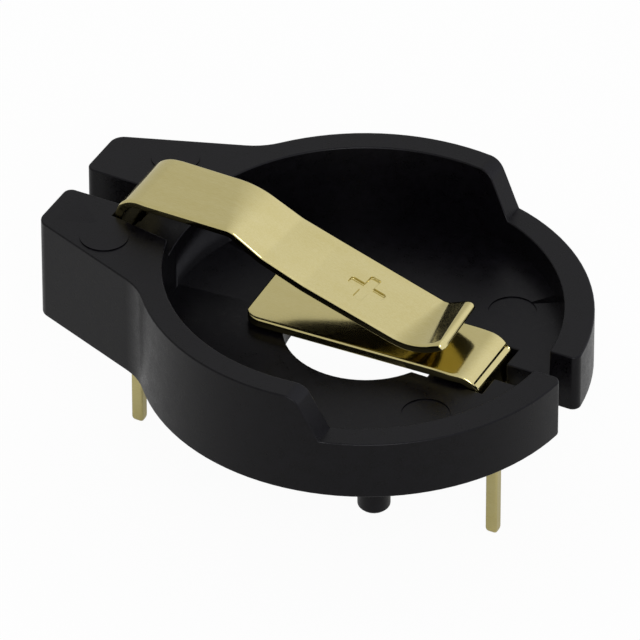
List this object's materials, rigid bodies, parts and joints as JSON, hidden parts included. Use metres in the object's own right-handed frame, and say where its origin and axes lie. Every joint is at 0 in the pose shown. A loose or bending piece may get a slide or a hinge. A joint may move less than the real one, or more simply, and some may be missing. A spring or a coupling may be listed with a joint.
{
  "type": "coin cell holder",
  "caption": "Open-topped through-hole holder for a single 20 mm coin cell, with a moulded cup, a spring arm contact over it and a flat contact in it.",
  "frame": {"origin": "axis of the cell pocket, on the face that sits on the circuit board", "axes": "+Z out of the board, +X from the contact block along the row of pins to the open slot, +Y across the part"},
  "size_m": [0.0281, 0.0232, 0.0157],
  "materials": {
    "black_plastic": "fine spark-eroded mould texture, matt",
    "gold_plate": "thin pale gold plate on a rolled copper alloy strip, satin"
  },
  "bodies": {
    "root": {"body": "black_plastic", "upper_contact": "gold_plate", "lower_contact": "gold_plate"}
  },
  "joints": []
}
